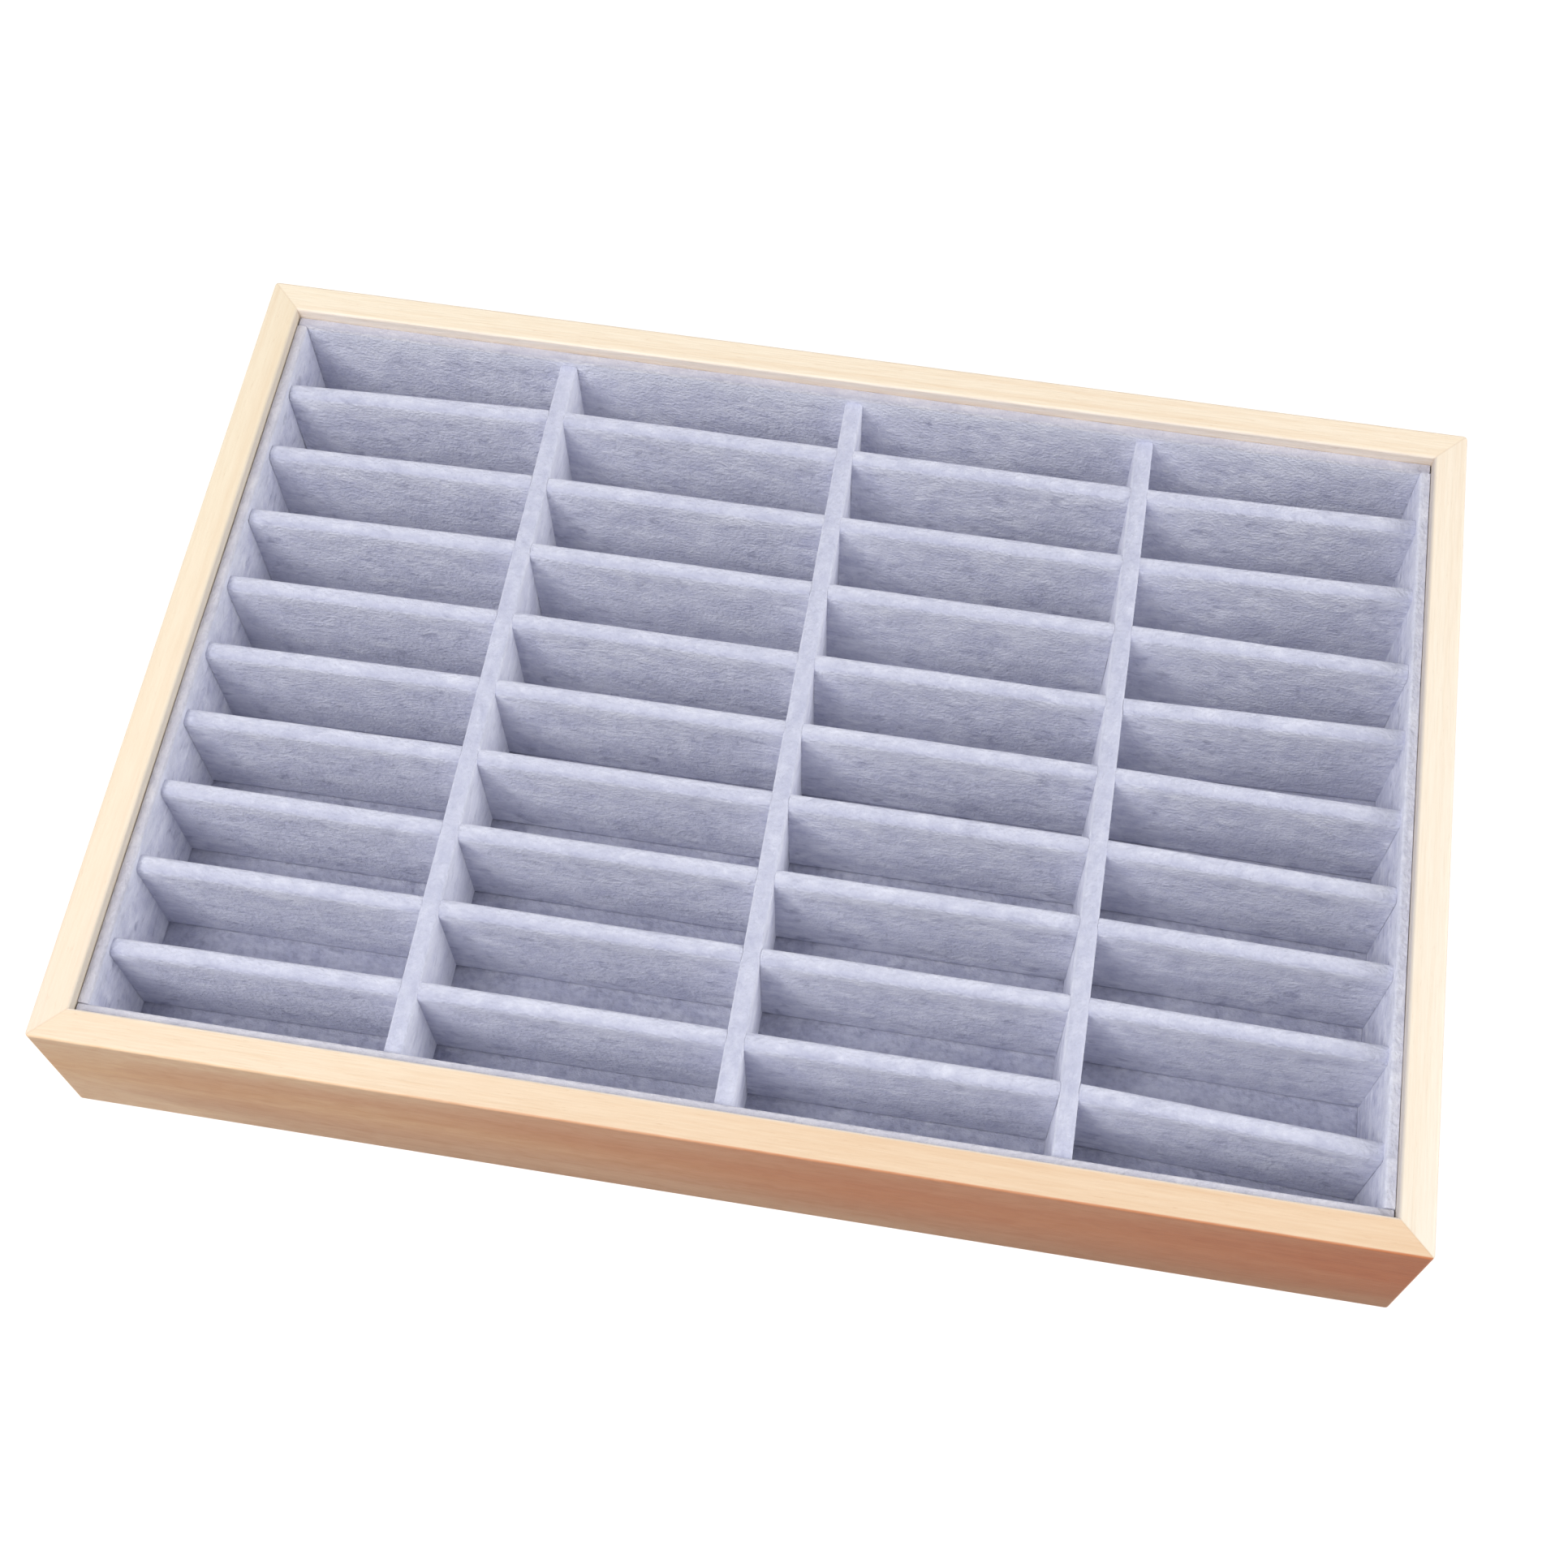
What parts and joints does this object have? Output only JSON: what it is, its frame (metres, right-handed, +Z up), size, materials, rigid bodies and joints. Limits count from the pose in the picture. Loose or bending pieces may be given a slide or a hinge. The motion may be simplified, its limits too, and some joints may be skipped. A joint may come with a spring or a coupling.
{
  "type": "bracelet display tray",
  "caption": "Shallow mitred wooden tray with a lift-out velvet insert of narrow open compartments in columns, for bracelets and chains.",
  "frame": {"origin": "middle of the tray's underside, on the surface that it rests on", "axes": "+X along the long side, +Y to the back, +Z up"},
  "size_m": [0.35, 0.24, 0.048],
  "materials": {
    "rail_wood": "sanded bare softwood",
    "base_plywood": "plain plywood",
    "tongue_plywood": "plain plywood",
    "pin_steel": "bright drawn wire",
    "lining_board": "grey card",
    "divider_fibreboard": "fibreboard",
    "velvet": "short-pile velvet"
  },
  "bodies": {
    "frame": {"frame_front": "rail_wood", "frame_back": "rail_wood", "frame_left": "rail_wood", "frame_right": "rail_wood", "corner_tongues": "tongue_plywood", "base_board": "base_plywood", "base_pins": "pin_steel"},
    "insert": {"floor_board": "lining_board", "floor_velvet": "velvet", "liner_front_velvet": "velvet", "liner_front_board": "lining_board", "liner_back_velvet": "velvet", "liner_back_board": "lining_board", "liner_left_velvet": "velvet", "liner_left_board": "lining_board", "liner_right_velvet": "velvet", "liner_right_board": "lining_board", "long_divider_left_velvet": "velvet", "long_divider_left_board": "divider_fibreboard", "long_divider_middle_velvet": "velvet", "long_divider_middle_board": "divider_fibreboard", "long_divider_right_velvet": "velvet", "long_divider_right_board": "divider_fibreboard", "cross_divider_1_1_velvet": "velvet", "cross_divider_1_2_velvet": "velvet", "cross_divider_1_3_velvet": "velvet", "cross_divider_1_4_velvet": "velvet", "cross_divider_1_5_velvet": "velvet", "cross_divider_1_6_velvet": "velvet", "cross_divider_1_7_velvet": "velvet", "cross_divider_1_8_velvet": "velvet", "cross_divider_1_9_velvet": "velvet", "cross_divider_2_1_velvet": "velvet", "cross_divider_2_2_velvet": "velvet", "cross_divider_2_3_velvet": "velvet", "cross_divider_2_4_velvet": "velvet", "cross_divider_2_5_velvet": "velvet", "cross_divider_2_6_velvet": "velvet", "cross_divider_2_7_velvet": "velvet", "cross_divider_2_8_velvet": "velvet", "cross_divider_2_9_velvet": "velvet", "cross_divider_3_1_velvet": "velvet", "cross_divider_3_2_velvet": "velvet", "cross_divider_3_3_velvet": "velvet", "cross_divider_3_4_velvet": "velvet", "cross_divider_3_5_velvet": "velvet", "cross_divider_3_6_velvet": "velvet", "cross_divider_3_7_velvet": "velvet", "cross_divider_3_8_velvet": "velvet", "cross_divider_3_9_velvet": "velvet", "cross_divider_4_1_velvet": "velvet", "cross_divider_4_2_velvet": "velvet", "cross_divider_4_3_velvet": "velvet", "cross_divider_4_4_velvet": "velvet", "cross_divider_4_5_velvet": "velvet", "cross_divider_4_6_velvet": "velvet", "cross_divider_4_7_velvet": "velvet", "cross_divider_4_8_velvet": "velvet", "cross_divider_4_9_velvet": "velvet", "cross_divider_boards": "divider_fibreboard"}
  },
  "joints": [
    {"name": "insert_lift", "type": "slide", "parent": "frame", "child": "insert", "axis": [0, 0, 1], "range_m": [0, 0.06]}
  ]
}
